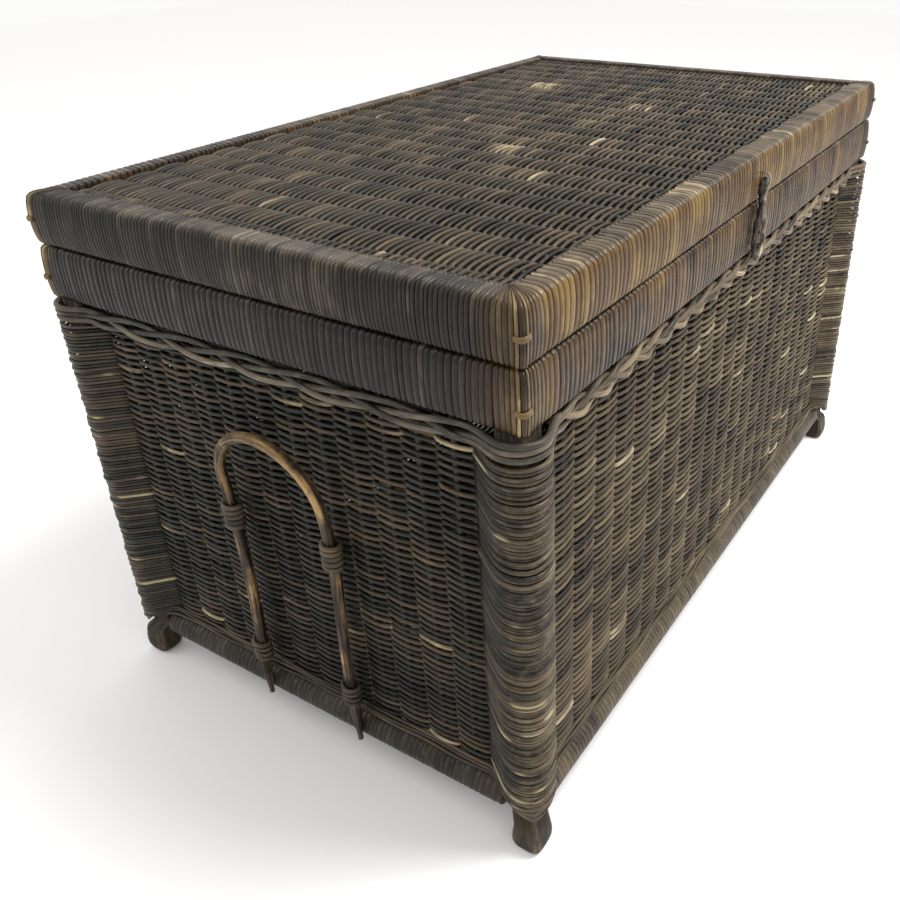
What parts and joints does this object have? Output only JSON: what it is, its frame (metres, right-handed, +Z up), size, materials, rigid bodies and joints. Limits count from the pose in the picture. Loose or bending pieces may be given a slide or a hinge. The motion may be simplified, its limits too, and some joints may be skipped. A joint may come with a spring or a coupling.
{
  "type": "wicker storage trunk",
  "caption": "Woven cane trunk on corner posts with a wrapped rim, braided border, arched end handles and a hinged tray lid with a front hasp.",
  "frame": {"origin": "on the floor, under the middle of the trunk's bounding box", "axes": "+X along the long side, -Y towards the hasp side (front), +Z up"},
  "size_m": [0.8856, 0.5324, 0.524],
  "materials": {
    "dark_cane": "dark stained round cane, worn satin",
    "wrapped_cane": "brown stained flat cane wrapping, satin",
    "handle_cane": "polished brown cane rod",
    "dark_wood": "dark stained wood, satin"
  },
  "bodies": {
    "trunk": {"bottom_rail_back": "wrapped_cane", "bottom_rail_front": "wrapped_cane", "bottom_rail_left": "wrapped_cane", "bottom_rail_right": "wrapped_cane", "braided_border": "dark_cane", "carrying_handle_left": "handle_cane", "carrying_handle_right": "handle_cane", "corner_post_back_left": "dark_wood", "corner_post_back_right": "dark_wood", "corner_post_front_left": "dark_wood", "corner_post_front_right": "dark_wood", "floor_bearer_left": "handle_cane", "floor_bearer_right": "handle_cane", "floor_panel": "dark_cane", "handle_lashing_left_lower_a": "dark_cane", "handle_lashing_left_lower_b": "dark_cane", "handle_lashing_left_upper_a": "dark_cane", "handle_lashing_left_upper_b": "dark_cane", "handle_lashing_right_lower_a": "dark_cane", "handle_lashing_right_lower_b": "dark_cane", "handle_lashing_right_upper_a": "dark_cane", "handle_lashing_right_upper_b": "dark_cane", "hasp_staple_rim": "dark_cane", "hinge_pin_left": "handle_cane", "hinge_pin_right": "handle_cane", "hinge_rim_loop_left_inner": "dark_cane", "hinge_rim_loop_left_outer": "dark_cane", "hinge_rim_loop_right_inner": "dark_cane", "hinge_rim_loop_right_outer": "dark_cane", "rim_corner_back_left": "wrapped_cane", "rim_corner_back_right": "wrapped_cane", "rim_corner_front_left": "wrapped_cane", "rim_corner_front_right": "wrapped_cane", "rim_rail_back": "wrapped_cane", "rim_rail_front": "wrapped_cane", "rim_rail_left": "wrapped_cane", "rim_rail_right": "wrapped_cane", "woven_corner_back_left": "dark_cane", "woven_corner_back_right": "dark_cane", "woven_corner_front_left": "dark_cane", "woven_corner_front_right": "dark_cane", "woven_wall_back": "dark_cane", "woven_wall_front": "dark_cane", "woven_wall_left": "dark_cane", "woven_wall_right": "dark_cane"},
    "lid": {"hasp_staple_lid": "dark_cane", "hinge_lid_loop_left": "dark_cane", "hinge_lid_loop_right": "dark_cane", "lid_batten_left": "dark_wood", "lid_batten_right": "dark_wood", "lid_corner_back_left": "wrapped_cane", "lid_corner_back_right": "wrapped_cane", "lid_corner_front_left": "wrapped_cane", "lid_corner_front_right": "wrapped_cane", "lid_panel": "dark_cane", "lid_rail_back": "wrapped_cane", "lid_rail_front": "wrapped_cane", "lid_rail_left": "wrapped_cane", "lid_rail_right": "wrapped_cane"},
    "hasp": {"hasp_loop": "dark_cane"}
  },
  "joints": [
    {"name": "lid_hinge", "type": "hinge", "parent": "trunk", "child": "lid", "pos_m": [0, 0.2613, 0.4768], "axis": [-1, 0, 0], "range_deg": [0, 105]},
    {"name": "hasp_swing", "type": "hinge", "parent": "lid", "child": "hasp", "pos_m": [0, -0.2597, 0.499], "axis": [-1, 0, 0], "range_deg": [0, 150]}
  ]
}
